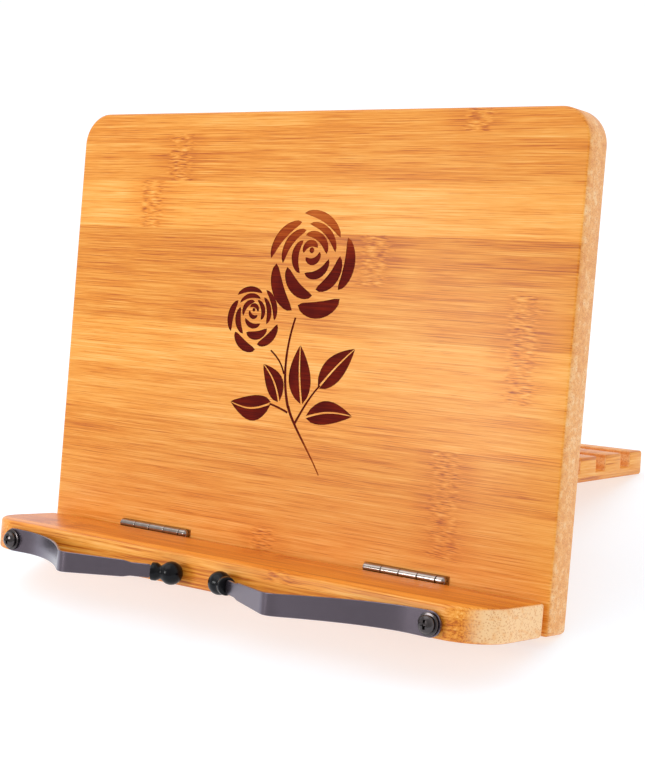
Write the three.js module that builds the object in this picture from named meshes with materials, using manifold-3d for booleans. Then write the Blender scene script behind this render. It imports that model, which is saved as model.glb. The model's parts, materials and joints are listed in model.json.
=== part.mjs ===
// Folding bamboo album stand: back board, hinged ledge with two spring clips, and a grooved
// support plate held by a prop rod. Millimetres, +Z up, front of the stand towards -Y.
//
// Pieces are modelled in the board frame: X right, Y from the board's back face towards the
// rear, Z up the board from its bottom edge. place() leans them back and sets the origin.
import * as THREE from 'three';
import { mergeVertices, toCreasedNormals } from 'three/addons/utils/BufferGeometryUtils.js';
import Module from 'manifold-3d';

const wasm = await Module();
wasm.setup();
const { Manifold, Mesh: ManifoldMesh } = wasm;

// ---------------------------------------------------------------- driving dimensions
const BOARD = { width: 280, height: 210, thick: 14, corner: 15, foot: 2.4, edge: 1.6 };
const LEDGE = { width: 278, depth: 45, thick: 14, corner: 20, heel: 2.4, edge: 1.6, gap: 2.1 };
const FRONT_HINGE = { x: 71.5, offset: -3.2, length: 37, knuckles: 4, barrel: 2.0, pin: 0.9,
  head: 4.4, leafThick: 0.6, leafDrop: 12, screwDrop: 8.2, rise: 1 };
const PLATE = { width: 190, thick: 11.4, rear: 141, tiltDeg: 3.2, front: 0.8, lip: 1.5 };
const GROOVE = { count: 5, pitch: 24, width: 9, depth: 7.3, endMargin: 16.6 };
const REAR_HINGE = { x: 58, length: 32, knuckles: 5, barrel: 2.0, pin: 0.9,
  head: 2.6, leafThick: 1.2, leafDrop: 14, screwDrop: 9, axisY: 2.2, axisZ: 63.4 };
const PROP = { pivotY: 5.2, pivotZ: 100, pivot: 1.6, armWidth: 8, armHeight: 9, sideGap: 1.2, rod: 2.0,
  groove: 2, rodForward: 2.2, rodSink: 4.3 };
const BRACKET = { thick: 1.5, base: 14, height: 17, reach: 10.4 };
const CLIP = { screwX: 116, z: 5.8, thick: 1.2, stand: 1.0,
  height: 10.4, bendHeight: 8.8, endHeight: 7.2, neck: 5.8 };
const TIP = { collar: 3.9, waist: 2.9, ball: 5.0 };
const CLIP_SCREW = { head: 3.6, headHeight: 2.4, shank: 1.7, length: 17, holeDepth: 14.5 };
const WASHER = { radius: 4.6, thick: 0.9, spacer: 3.6 };
const SMALL_SCREW = { head: 2.0, shank: 1.1, length: 8, holeDepth: 8.6 };
const FIT = 0.25;          // gap between touching pieces
const HOLE = 0.15;         // radial gap round a screw shank or pin
const KNUCKLE_GAP = 0.12;  // at each end of a knuckle, and between a leaf and the joint's middle
const CHANNEL_GAP = 0.4;   // radial gap between a front hinge barrel and the wood

const rad = THREE.MathUtils.degToRad;
const FRONT_Y = -BOARD.thick;                              // board's front face
const LEDGE_REAR = FRONT_Y - LEDGE.gap;
const LEDGE_FRONT = LEDGE_REAR - LEDGE.depth;
const FRONT_AXIS = { y: FRONT_Y - LEDGE.gap / 2, z: LEDGE.thick + FRONT_HINGE.rise };
const PLATE_TOP = -REAR_HINGE.axisY;                       // plate frame: hinge axis is the origin
const PLATE_BOTTOM = PLATE_TOP - PLATE.thick;

// ---------------------------------------------------------------- materials
const finish = (color, roughness, metalness) =>
  new THREE.MeshStandardMaterial({ color, roughness, metalness });
const LOOKS = {
  bamboo: () => finish(0xe0964a, 0.5, 0),
  bamboo_dark: () => finish(0xd2823a, 0.5, 0),
  nickel: () => finish(0xc8c4c0, 0.25, 1),
  spring_steel: () => finish(0x3c3840, 0.4, 0.6),
  black_steel: () => finish(0x1a1a1c, 0.35, 0.6),
  rubber: () => finish(0x0c0c0d, 0.45, 0),
};

// ---------------------------------------------------------------- small geometry helpers
function asManifold(geometry) {
  const bare = new THREE.BufferGeometry();
  bare.setAttribute('position', geometry.getAttribute('position'));
  if (geometry.index) bare.setIndex(geometry.index);
  const welded = mergeVertices(bare, 1e-4);
  return new Manifold(new ManifoldMesh({
    numProp: 3,
    vertProperties: new Float32Array(welded.getAttribute('position').array),
    triVerts: new Uint32Array(welded.index.array),
  }));
}
function asGeometry(manifold) {
  const mesh = manifold.getMesh();
  const geometry = new THREE.BufferGeometry();
  geometry.setAttribute('position', new THREE.BufferAttribute(new Float32Array(mesh.vertProperties), 3));
  geometry.setIndex(new THREE.BufferAttribute(new Uint32Array(mesh.triVerts), 1));
  return geometry;
}
const fold = (op, first, rest) =>
  asGeometry(rest.reduce((a, b) => a[op](asManifold(b)), asManifold(first)));
const cut = (first, ...rest) => fold('subtract', first, rest);
const join = (first, ...rest) => fold('add', first, rest);
const keep = (first, ...rest) => fold('intersect', first, rest);

const box = (x0, x1, y0, y1, z0, z1) => new THREE.BoxGeometry(x1 - x0, y1 - y0, z1 - z0)
  .translate((x0 + x1) / 2, (y0 + y1) / 2, (z0 + z1) / 2);
const rodX = (r, x0, x1, y, z, n = 24) =>
  new THREE.CylinderGeometry(r, r, x1 - x0, n).rotateZ(Math.PI / 2).translate((x0 + x1) / 2, y, z);
const rodY = (r, y0, y1, x, z, n = 24) =>
  new THREE.CylinderGeometry(r, r, y1 - y0, n).translate(x, (y0 + y1) / 2, z);
const rodZ = (r, z0, z1, x, y, n = 24) =>
  new THREE.CylinderGeometry(r, r, z1 - z0, n).rotateX(Math.PI / 2).translate(x, y, (z0 + z1) / 2);

function bareCopy(geometry) {
  const bare = new THREE.BufferGeometry();
  bare.setAttribute('position', geometry.getAttribute('position').clone());
  if (geometry.index) bare.setIndex(geometry.index.clone());
  return bare;
}
// Mirror image through the origin's plane across one axis, with its faces turned outwards again.
function mirrored(geometry, x, y, z) {
  const g = mergeVertices(bareCopy(geometry), 1e-5).applyMatrix4(new THREE.Matrix4().makeScale(x, y, z));
  const index = g.index.array;
  for (let i = 0; i < index.length; i += 3) [index[i], index[i + 1]] = [index[i + 1], index[i]];
  return g;
}
const mirrorX = (geometry) => mirrored(geometry, -1, 1, 1);
const mirrorZ = (geometry) => mirrored(geometry, 1, 1, -1);

// Closed outline of a rectangle with one radius per corner, counter-clockwise from bottom left.
function roundedShape(x0, y0, x1, y1, [bl, br, tr, tl]) {
  const s = new THREE.Shape();
  s.moveTo(x0 + bl, y0);
  s.lineTo(x1 - br, y0).absarc(x1 - br, y0 + br, br, -Math.PI / 2, 0);
  s.lineTo(x1, y1 - tr).absarc(x1 - tr, y1 - tr, tr, 0, Math.PI / 2);
  s.lineTo(x0 + tl, y1).absarc(x0 + tl, y1 - tl, tl, Math.PI / 2, Math.PI);
  s.lineTo(x0, y0 + bl).absarc(x0 + bl, y0 + bl, bl, Math.PI, 1.5 * Math.PI);
  return s;
}
// Extrusion of a shape along its normal from 0 to depth, with its long edges rounded by r.
const slab = (shape, depth, r, curveSegments = 8, bevelSegments = 3) =>
  new THREE.ExtrudeGeometry(shape, { depth: depth - 2 * r, curveSegments, bevelEnabled: r > 0,
    bevelThickness: r, bevelSize: r, bevelOffset: -r, bevelSegments }).translate(0, 0, r);
// Turns a slab drawn in (Y, Z) and extruded along its normal into one that runs along X.
const alongX = (geometry) => geometry.applyMatrix4(new THREE.Matrix4().makeBasis(
  new THREE.Vector3(0, 1, 0), new THREE.Vector3(0, 0, 1), new THREE.Vector3(1, 0, 0)));

// Screw along -Y (head at y = 0 facing -Y, shank towards +Y) with a cross slot in the head.
function screw(headR, headH, shankR, shankL, domed) {
  const v = (r, y) => new THREE.Vector2(r, y);
  const head = domed
    ? [v(0, -headH), v(headR * 0.45, -headH * 0.95), v(headR * 0.8, -headH * 0.7),
      v(headR, -headH * 0.25), v(headR, 0)]
    : [v(0, -headH), v(headR, -headH), v(headR, -headH * 0.6), v(shankR, 0)];
  const profile = [...head, v(shankR, 0.001), v(shankR, shankL - shankR), v(0, shankL)];
  const body = new THREE.LatheGeometry(profile, domed ? 16 : 12);
  const w = headR * 0.13;
  const l = headR * 0.55;
  const d = headH * (domed ? 0.55 : 0.5);
  const slots = [box(-l, l, -headH - 1, -headH + d, -w, w), box(-w, w, -headH - 1, -headH + d, -l, l)];
  return cut(body, ...(domed ? slots : slots.slice(0, 1)));
}
// Butt hinge leaf with its knuckles, along X, hinge axis at the origin. The leaf plane stands
// at y from near to far and runs down -Z; `slots` are the knuckle numbers it owns.
function hingeLeaf({ length, knuckles, barrel, pin, leafDrop }, near, far, slots) {
  const step = length / knuckles;
  const x = (i) => -length / 2 + i * step;
  const outline = roundedShape(-length / 2, -leafDrop, length / 2, -barrel - 0.3, [1.2, 1.2, 0.2, 0.2]);
  let leaf = slab(outline, far - near, 0, 2).rotateX(Math.PI / 2).translate(0, far, 0);
  const owned = slots.flatMap((i) => [
    rodX(barrel, x(i) + KNUCKLE_GAP, x(i + 1) - KNUCKLE_GAP, 0, 0, 14),
    box(x(i) + KNUCKLE_GAP, x(i + 1) - KNUCKLE_GAP, near, far, -barrel - 1, -0.4)]);
  leaf = join(leaf, ...owned);
  return cut(leaf, rodX(pin + HOLE, -length, length, 0, 0, 10));
}
// Hinge pin along X with a domed head of the given length beyond the last knuckle.
const pinWithHead = ({ length, pin, barrel, head }, headSide) => {
  const v = (x, y) => new THREE.Vector2(x, y);
  const start = length / 2 + 0.2;
  const end = start + head;
  const profile = [v(0, -start), v(pin, -start), v(pin, start), v(barrel, start),
    v(barrel, end - 1.4), v(barrel * 0.8, end - 0.6), v(barrel * 0.4, end - 0.1), v(0, end)];
  return new THREE.LatheGeometry(profile, 14).rotateZ(headSide > 0 ? -Math.PI / 2 : Math.PI / 2);
};

// ---------------------------------------------------------------- assembly bookkeeping
const group = new THREE.Group();
group.name = 'album_stand';
function add(name, geometry, look) {
  const bare = new THREE.BufferGeometry();
  bare.setAttribute('position', geometry.getAttribute('position'));
  if (geometry.index) bare.setIndex(geometry.index);
  const mesh = new THREE.Mesh(bare, LOOKS[look]());
  mesh.name = name;
  mesh.material.name = look;
  group.add(mesh);
}
const SIDES = [['left', -1], ['right', 1]];

// ---------------------------------------------------------------- hinge and screw positions
const hingeScrewX = (hinge) => [-hinge.length * 0.32, hinge.length * 0.32];
const frontHingeX = (side) => side * FRONT_HINGE.x + FRONT_HINGE.offset;
const smallScrew = (headHeight) =>
  screw(SMALL_SCREW.head, headHeight, SMALL_SCREW.shank, SMALL_SCREW.length, false);
const SCREW_HOLE = SMALL_SCREW.shank + HOLE;
const LEAF_HOLE = SMALL_SCREW.head + 0.2;                   // lets the head sink into a leaf
const frontScrewZ = FRONT_AXIS.z - FRONT_HINGE.screwDrop;   // on both front leaves
const rearScrewZ = REAR_HINGE.axisZ + REAR_HINGE.screwDrop; // on the board
const rearHoleY = 1 - SMALL_SCREW.holeDepth;                // bottom of the holes in the board's back
// Round channel, shared by the board's and the ledge's edge, that clears a front hinge barrel.
const barrelChannel = (side) => rodX(FRONT_HINGE.barrel + CHANNEL_GAP,
  frontHingeX(side) - FRONT_HINGE.length / 2 - 1,
  frontHingeX(side) + FRONT_HINGE.length / 2 + FRONT_HINGE.head + 1, FRONT_AXIS.y, FRONT_AXIS.z, 16);

// ---------------------------------------------------------------- back board
const boardShape = roundedShape(-BOARD.width / 2, 0, BOARD.width / 2, BOARD.height,
  [BOARD.foot, BOARD.foot, BOARD.corner, BOARD.corner]);
let board = slab(boardShape, BOARD.thick, BOARD.edge, 7, 2).rotateX(Math.PI / 2);   // Y 0 .. -thick
const boardCuts = [];
for (const [, side] of SIDES) {
  boardCuts.push(barrelChannel(side));
  for (const dx of hingeScrewX(FRONT_HINGE)) {
    boardCuts.push(rodY(SCREW_HOLE, FRONT_Y - 1, FRONT_Y + SMALL_SCREW.holeDepth,
      frontHingeX(side) + dx, frontScrewZ, 10));
  }
  for (const dx of hingeScrewX(REAR_HINGE)) {
    boardCuts.push(rodY(SCREW_HOLE, rearHoleY, 1, side * REAR_HINGE.x + dx, rearScrewZ, 10));
  }
}

// ---------------------------------------------------------------- brackets that carry the prop
const armIn = PLATE.width / 2 + PROP.sideGap;
const armOut = armIn + PROP.armWidth;
const earIn = armOut + 0.5;
const earOut = earIn + BRACKET.thick;
const bracketScrewX = earOut + (BRACKET.base - BRACKET.thick) / 2;
const bracketScrewZ = [PROP.pivotZ - 5, PROP.pivotZ + 5];
for (const [label, side] of SIDES) {
  const z0 = PROP.pivotZ - BRACKET.height / 2;
  const z1 = PROP.pivotZ + BRACKET.height / 2;
  const base = box(earIn, earIn + BRACKET.base, FIT, FIT + BRACKET.thick, z0, z1);
  const ear = keep(box(earIn, earOut, FIT, BRACKET.reach, z0, z1),
    join(box(earIn - 1, earOut + 1, 0, PROP.pivotY, z0 - 1, z1 + 1),
      rodX(BRACKET.reach - PROP.pivotY, earIn - 1, earOut + 1, PROP.pivotY, PROP.pivotZ, 20),
      box(earIn - 1, earOut + 1, 0, PROP.pivotY - 1.2, z0 - 1, z1 + 1)));
  const holes = [rodX(PROP.pivot + HOLE, earIn - 1, earOut + 1, PROP.pivotY, PROP.pivotZ, 14),
    ...bracketScrewZ.map((z) => rodY(1.5, 0, 3, bracketScrewX, z, 12))];
  let bracket = cut(join(base, ear), ...holes);
  if (side < 0) bracket = mirrorX(bracket);
  add(`prop_bracket_${label}`, bracket, 'nickel');
  bracketScrewZ.forEach((z, i) => {
    boardCuts.push(rodY(SCREW_HOLE, rearHoleY, 1, side * bracketScrewX, z, 10));
    add(`bracket_screw_${label}_${i + 1}`, screw(2.5, 1.3, SMALL_SCREW.shank, 8.4, true).rotateX(Math.PI)
      .translate(side * bracketScrewX, FIT * 2 + BRACKET.thick, z), 'nickel');
  });
}
board = cut(board, ...boardCuts);
add('back_board', board, 'bamboo');

// ---------------------------------------------------------------- ledge
const ledgeShape = roundedShape(-LEDGE.width / 2, LEDGE_FRONT, LEDGE.width / 2, LEDGE_REAR,
  [LEDGE.corner, LEDGE.corner, LEDGE.heel, LEDGE.heel]);
const ledgeCuts = [];
for (const [, side] of SIDES) {
  ledgeCuts.push(barrelChannel(side));
  for (const dx of hingeScrewX(FRONT_HINGE)) {
    ledgeCuts.push(rodY(SCREW_HOLE, LEDGE_REAR - SMALL_SCREW.holeDepth, LEDGE_REAR + 1,
      frontHingeX(side) + dx, frontScrewZ, 10));
  }
  ledgeCuts.push(rodY(CLIP_SCREW.shank + HOLE, LEDGE_FRONT - 1, LEDGE_FRONT + CLIP_SCREW.holeDepth,
    side * CLIP.screwX, CLIP.z, 12));
}
add('ledge', cut(slab(ledgeShape, LEDGE.thick, LEDGE.edge, 8, 2), ...ledgeCuts), 'bamboo_dark');

// ---------------------------------------------------------------- front hinges
const leafFar = KNUCKLE_GAP + FRONT_HINGE.leafThick;
for (const [label, side] of SIDES) {
  const at = (g) => g.translate(frontHingeX(side), FRONT_AXIS.y, FRONT_AXIS.z);
  const screwHoles = (x, y) => hingeScrewX(FRONT_HINGE).map((dx) =>
    rodY(LEAF_HOLE, y - 2, y + 2, x + dx, -FRONT_HINGE.screwDrop, 12));
  const boardLeaf = cut(hingeLeaf(FRONT_HINGE, KNUCKLE_GAP, leafFar, [0, 2]), ...screwHoles(0, 0.4));
  const ledgeLeaf = cut(hingeLeaf(FRONT_HINGE, -leafFar, -KNUCKLE_GAP, [1, 3]), ...screwHoles(0, -0.4));
  add(`front_hinge_${label}_board_leaf`, at(boardLeaf), 'nickel');
  add(`front_hinge_${label}_ledge_leaf`, at(ledgeLeaf), 'nickel');
  add(`front_hinge_${label}_pin`, at(pinWithHead(FRONT_HINGE, 1)), 'nickel');
  hingeScrewX(FRONT_HINGE).forEach((dx, i) => {
    add(`front_hinge_${label}_board_screw_${i + 1}`, smallScrew(0.6)
      .translate(frontHingeX(side) + dx, FRONT_Y - FIT * 0.6, frontScrewZ), 'nickel');
    add(`front_hinge_${label}_ledge_screw_${i + 1}`, smallScrew(0.6).rotateX(Math.PI)
      .translate(frontHingeX(side) + dx, LEDGE_REAR + FIT * 0.6, frontScrewZ), 'nickel');
  });
}

// ---------------------------------------------------------------- spring clips
// Plan curve of the strip: d runs inwards from the screw, o outwards from the ledge's front face.
const stripO = CLIP.stand + CLIP.thick / 2;
const BEND = [{ d: 54, o: 25 }, { d: 63.2, o: 26.6 }];      // where the outer bend starts and ends
const TIP_END = { d: 102.4, o: 5.4 };
function stripCentre() {
  const v = (d, o) => new THREE.Vector2(d, o);
  const path = new THREE.CurvePath();
  path.add(new THREE.LineCurve(v(-6, stripO), v(8, stripO)));
  const [rise, fall] = BEND.map((p) => v(p.d, p.o));
  path.add(new THREE.CubicBezierCurve(v(8, stripO), v(24, stripO), v(42.5, 14.8), rise));
  path.add(new THREE.CubicBezierCurve(rise, v(58.2, 28.7), v(60.2, 28.3), fall));
  const back = v(TIP_END.d, TIP_END.o).sub(fall).normalize();
  path.add(new THREE.LineCurve(fall, v(TIP_END.d, TIP_END.o).addScaledVector(back, -9.4)));
  const points = [];
  path.curves.forEach((c, i) => {
    const n = [1, 10, 6, 1][i];
    for (let k = i ? 1 : 0; k <= n; k++) points.push(c.getPoint(k / n));
  });
  return { points, back };
}
function ribbonShape(points, thick) {
  const offset = (sign) => points.map((p, i) => {
    const next = points[Math.min(i + 1, points.length - 1)];
    const t = next.clone().sub(points[Math.max(i - 1, 0)]).normalize();
    return new THREE.Vector2(p.x - sign * t.y * thick / 2, p.y + sign * t.x * thick / 2);
  });
  return new THREE.Shape([...offset(-1), ...offset(1).reverse()]);
}
// Clip frame: X = d towards the middle of the stand, Y = -o, Z up with the screw axis at 0.
const strip = stripCentre();
const halfH = CLIP.height / 2;
const planToClip = (g) => g.applyMatrix4(new THREE.Matrix4().makeBasis(
  new THREE.Vector3(1, 0, 0), new THREE.Vector3(0, -1, 0), new THREE.Vector3(0, 0, -1)));
let clipArm = planToClip(new THREE.ExtrudeGeometry(ribbonShape(strip.points, CLIP.thick),
  { depth: CLIP.height, bevelEnabled: false }).translate(0, 0, -halfH));
const neckFrom = TIP_END.d - 17;
// Elevation of the strip: it tapers from the screw to the bend and on to the neck before the tip.
const taper = [[0, halfH], [BEND[1].d - 3, CLIP.bendHeight / 2], [neckFrom - 1.6, CLIP.endHeight / 2],
  [neckFrom + 1.2, CLIP.neck / 2], [130, CLIP.neck / 2]].map(([d, h]) => new THREE.Vector2(d, h));
const elevation = new THREE.Shape([...taper.map((p) => new THREE.Vector2(p.x, -p.y)), ...taper.reverse()]);
const elevationPrism = new THREE.ExtrudeGeometry(elevation, { depth: 62, bevelEnabled: false })
  .rotateX(Math.PI / 2).translate(0, 2, 0);
clipArm = keep(clipArm, join(rodY(halfH, -8, 2, 0, 0, 24), elevationPrism));
clipArm = cut(clipArm, rodY(CLIP_SCREW.shank + HOLE, -8, 2, 0, 0, 20));
// Rubber tip, turned about the last stretch of the strip.
const tipProfile = [[0, -8.6], [TIP.collar - 0.5, -8.6], [TIP.collar, -8.1], [TIP.collar, -6.4],
  [TIP.waist + 0.4, -5.2], [TIP.waist, -4.4]];
const joinAngle = Math.acos(TIP.waist / TIP.ball);
for (let i = 1; i <= 7; i++) {
  const a = -joinAngle + (Math.PI / 2 + joinAngle) * (i / 7);
  tipProfile.push([TIP.ball * Math.cos(a), TIP.ball * Math.sin(a)]);
}
tipProfile[tipProfile.length - 1][0] = 0;
const tipAngle = Math.atan2(-strip.back.y, strip.back.x);
let clipTip = new THREE.LatheGeometry(tipProfile.map(([r, y]) => new THREE.Vector2(r, y)), 20)
  .rotateZ(-Math.PI / 2 + tipAngle).translate(TIP_END.d, -TIP_END.o, 0);
// Block along the strip's last stretch, from one distance before the tip's centre to another.
const tongue = (from, to, thick, halfHeight) => planToClip(new THREE.ExtrudeGeometry(ribbonShape(
  [from, to].map((before) => new THREE.Vector2(TIP_END.d, TIP_END.o).addScaledVector(strip.back, -before)),
  thick), { depth: 2 * halfHeight, bevelEnabled: false }).translate(0, 0, -halfHeight));
clipArm = join(clipArm, tongue(14, 4.8, CLIP.thick, 2.2));
clipTip = cut(clipTip, tongue(14, 4.4, CLIP.thick + 2 * FIT, 2.2 + FIT));

const washer = (r, y0, y1) =>
  cut(rodY(r, y0, y1, 0, 0, 20), rodY(CLIP_SCREW.shank + HOLE, y0 - 1, y1 + 1, 0, 0, 12));
for (const [label, side] of SIDES) {
  const toSide = (g) => (side > 0 ? mirrorX(g) : bareCopy(g))
    .translate(side * CLIP.screwX, LEDGE_FRONT, CLIP.z);
  const y1 = -CLIP.stand - CLIP.thick - FIT;
  add(`clip_${label}_arm`, toSide(clipArm), 'spring_steel');
  add(`clip_${label}_tip`, toSide(clipTip), 'rubber');
  add(`clip_${label}_spacer`, toSide(washer(WASHER.spacer, -CLIP.stand + FIT, -FIT)), 'black_steel');
  add(`clip_${label}_washer`, toSide(washer(WASHER.radius, y1 - WASHER.thick, y1)), 'black_steel');
  const { head, headHeight, shank, length } = CLIP_SCREW;
  const clipScrew = screw(head, headHeight, shank, length, true).translate(0, y1 - WASHER.thick - FIT, 0);
  add(`clip_${label}_screw`, toSide(clipScrew), 'black_steel');
}

// ---------------------------------------------------------------- support plate (hinge frame)
const grooveS = Array.from({ length: GROOVE.count }, (_, i) =>
  PLATE.rear - GROOVE.endMargin - (GROOVE.count - 1 - i) * GROOVE.pitch);
const plateShape = new THREE.Shape();
const bevelDrop = PLATE.thick - PLATE.lip;
plateShape.moveTo(PLATE.front, PLATE_TOP - PLATE.lip);
plateShape.lineTo(PLATE.front + bevelDrop, PLATE_BOTTOM);
plateShape.lineTo(PLATE.rear - 1, PLATE_BOTTOM).lineTo(PLATE.rear, PLATE_BOTTOM + 1);
plateShape.lineTo(PLATE.rear, PLATE_TOP - 1).lineTo(PLATE.rear - 1, PLATE_TOP);
for (const s of [...grooveS].reverse()) {
  const a = s + GROOVE.width / 2;
  const b = s - GROOVE.width / 2;
  plateShape.lineTo(a, PLATE_TOP).lineTo(a, PLATE_TOP - GROOVE.depth);
  plateShape.lineTo(b, PLATE_TOP - GROOVE.depth).lineTo(b, PLATE_TOP);
}
plateShape.lineTo(PLATE.front, PLATE_TOP);
const plateCuts = [];
for (const [, side] of SIDES) {
  for (const dx of hingeScrewX(REAR_HINGE)) {
    plateCuts.push(rodZ(SCREW_HOLE, PLATE_TOP - SMALL_SCREW.holeDepth, PLATE_TOP + 1,
      side * REAR_HINGE.x + dx, REAR_HINGE.screwDrop, 10));
  }
}
const hingeFrame = new THREE.Matrix4().makeTranslation(0, REAR_HINGE.axisY, REAR_HINGE.axisZ)
  .multiply(new THREE.Matrix4().makeRotationX(rad(PLATE.tiltDeg)));
const inHinge = (g) => g.applyMatrix4(hingeFrame);
add('support_plate', inHinge(cut(alongX(slab(plateShape, PLATE.width, 0.8, 1, 1))
  .translate(-PLATE.width / 2, 0, 0), ...plateCuts)), 'bamboo');

// ---------------------------------------------------------------- rear hinges
const REAR_SCREW_SEAT = FIT + 0.35;                         // height of a screw head's underside
for (const [label, side] of SIDES) {
  const near = -REAR_HINGE.axisY + FIT;
  const far = near + REAR_HINGE.leafThick;
  const sx = side * REAR_HINGE.x;
  const holes = (y0, y1) => hingeScrewX(REAR_HINGE).map((dx) =>
    rodY(LEAF_HOLE, y0 - 2, y1 + 2, dx, -REAR_HINGE.screwDrop, 12));
  // Board leaf: drawn hanging down, then turned up about the axis with its plane on the board.
  const boardLeaf = mirrorZ(cut(hingeLeaf(REAR_HINGE, near, far, [0, 2, 4]), ...holes(near, far)))
    .translate(sx, REAR_HINGE.axisY, REAR_HINGE.axisZ);
  // Plate leaf: the same blank laid back on the plate's top face.
  const plateLeaf = inHinge(cut(hingeLeaf(REAR_HINGE, -far, -near, [1, 3]), ...holes(-far, -near))
    .rotateX(Math.PI / 2).translate(sx, 0, 0));
  add(`rear_hinge_${label}_board_leaf`, boardLeaf, 'nickel');
  add(`rear_hinge_${label}_plate_leaf`, plateLeaf, 'nickel');
  add(`rear_hinge_${label}_pin`, pinWithHead(REAR_HINGE, side)
    .translate(sx, REAR_HINGE.axisY, REAR_HINGE.axisZ), 'nickel');
  hingeScrewX(REAR_HINGE).forEach((dx, i) => {
    add(`rear_hinge_${label}_board_screw_${i + 1}`, smallScrew(0.8).rotateX(Math.PI)
      .translate(sx + dx, REAR_SCREW_SEAT, rearScrewZ), 'nickel');
    add(`rear_hinge_${label}_plate_screw_${i + 1}`, inHinge(smallScrew(0.8).rotateX(-Math.PI / 2)
      .translate(sx + dx, REAR_HINGE.screwDrop, PLATE_TOP + REAR_SCREW_SEAT)), 'nickel');
  });
}
// ---------------------------------------------------------------- prop: two arms and a rod
const rodLocal = new THREE.Vector3(0, grooveS[PROP.groove - 1] - PROP.rodForward, PLATE_TOP - PROP.rodSink)
  .applyMatrix4(hingeFrame);
const reach = Math.hypot(rodLocal.y - PROP.pivotY, rodLocal.z - PROP.pivotZ);
const armShape = new THREE.Shape();
armShape.absarc(0, 0, PROP.armHeight / 2, Math.PI / 2, 1.5 * Math.PI);
armShape.absarc(reach, 0, PROP.armHeight / 2, -Math.PI / 2, Math.PI / 2);
const armTurn = Math.atan2(rodLocal.z - PROP.pivotZ, rodLocal.y - PROP.pivotY);
for (const [label, side] of SIDES) {
  let arm = alongX(slab(armShape, PROP.armWidth, 0.8, 8, 1));
  arm = cut(arm, rodX(PROP.pivot + HOLE, -1, PROP.armWidth + 1, 0, 0, 12),
    rodX(PROP.rod + HOLE, -1, PROP.armWidth + 1, reach, 0, 16));
  arm.rotateX(armTurn).translate(armIn, PROP.pivotY, PROP.pivotZ);
  add(`prop_arm_${label}`, side > 0 ? arm : mirrorX(arm), 'bamboo');
  const head = screw(3.2, 1.9, PROP.pivot, 10, true).rotateZ(Math.PI / 2)
    .translate(earOut + FIT, PROP.pivotY, PROP.pivotZ);
  add(`prop_pivot_screw_${label}`, side > 0 ? head : mirrorX(head), 'nickel');
  const v = (r, y) => new THREE.Vector2(r, y);
  const cap = new THREE.LatheGeometry([v(0, 0.4), v(PROP.rod + 1.4, 0.4), v(PROP.rod + 1.4, 1.6),
    v(PROP.rod + 0.9, 2.4), v(PROP.rod - 0.4, 2.9), v(0, 3)], 16)
    .rotateZ(-Math.PI / 2).translate(armOut + 0.2, rodLocal.y, rodLocal.z);
  add(`prop_cap_${label}`, side > 0 ? cap : mirrorX(cap), 'nickel');
}
add('prop_rod', rodX(PROP.rod, -armOut - 0.2, armOut + 0.2, rodLocal.y, rodLocal.z, 16), 'nickel');

// ---------------------------------------------------------------- lean back and set the origin
const foot = new THREE.Vector3(0, PLATE.rear, PLATE_BOTTOM).applyMatrix4(hingeFrame);
const lean = Math.atan2(foot.z, foot.y);
const place = new THREE.Matrix4().makeRotationX(-lean);
const bounds = new THREE.Box3();
for (const mesh of group.children) {
  mesh.geometry.applyMatrix4(place);
  bounds.union(new THREE.Box3().setFromBufferAttribute(mesh.geometry.getAttribute('position')));
}
const middle = bounds.getCenter(new THREE.Vector3());
for (const mesh of group.children) {
  mesh.geometry.translate(-middle.x, -middle.y, -bounds.min.z);
  mesh.geometry = toCreasedNormals(mesh.geometry, rad(35));
}

export default group;
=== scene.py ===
"""Looks of the folding bamboo album stand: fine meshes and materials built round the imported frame.

Shapes are drawn in millimetres in the board frame: X to the right, Y backwards from the board's
back face, Z up the board from its bottom edge. Each piece is scaled to metres when it is placed.
"""
import json
import math

import bmesh
import bpy
from mathutils import Matrix, Vector


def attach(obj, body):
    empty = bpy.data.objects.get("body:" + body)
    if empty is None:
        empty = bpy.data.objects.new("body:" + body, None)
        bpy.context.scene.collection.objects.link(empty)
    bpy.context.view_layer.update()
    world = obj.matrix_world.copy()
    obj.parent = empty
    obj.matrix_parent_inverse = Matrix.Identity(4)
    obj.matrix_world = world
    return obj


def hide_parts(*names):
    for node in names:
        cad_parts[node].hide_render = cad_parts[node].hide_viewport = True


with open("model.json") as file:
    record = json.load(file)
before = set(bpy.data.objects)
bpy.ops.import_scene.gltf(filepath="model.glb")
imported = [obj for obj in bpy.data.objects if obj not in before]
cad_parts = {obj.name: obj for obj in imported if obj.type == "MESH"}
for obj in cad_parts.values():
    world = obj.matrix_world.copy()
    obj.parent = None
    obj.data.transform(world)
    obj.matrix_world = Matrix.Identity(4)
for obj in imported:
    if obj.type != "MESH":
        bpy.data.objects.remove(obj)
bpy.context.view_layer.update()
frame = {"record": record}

# ------------------------------------------------------------------ sizes, the same as the CAD
MM = 0.001
BOARD = {"width": 280, "height": 210, "thick": 14, "corner": 15, "foot": 2.4, "edge": 1.6}
LEDGE = {"width": 278, "depth": 45, "thick": 14, "corner": 20, "heel": 2.4, "edge": 1.6, "gap": 2.1}
FRONT_HINGE = {"x": 71.5, "offset": -3.2, "length": 37, "knuckles": 4, "barrel": 2.0, "pin": 0.9,
               "head": 4.4, "leaf": 0.6, "drop": 12, "screw_drop": 8.2, "rise": 1}
REAR_HINGE = {"x": 58, "length": 32, "knuckles": 5, "barrel": 2.0, "pin": 0.9,
              "head": 2.6, "leaf": 1.2, "drop": 14, "screw_drop": 9, "y": 2.2, "z": 63.4}
PLATE = {"width": 190, "thick": 11.4, "rear": 141, "tilt": 3.2, "front": 0.8, "lip": 1.5}
GROOVE = {"count": 5, "pitch": 24, "width": 9, "depth": 7.3, "end": 16.6}
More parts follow.
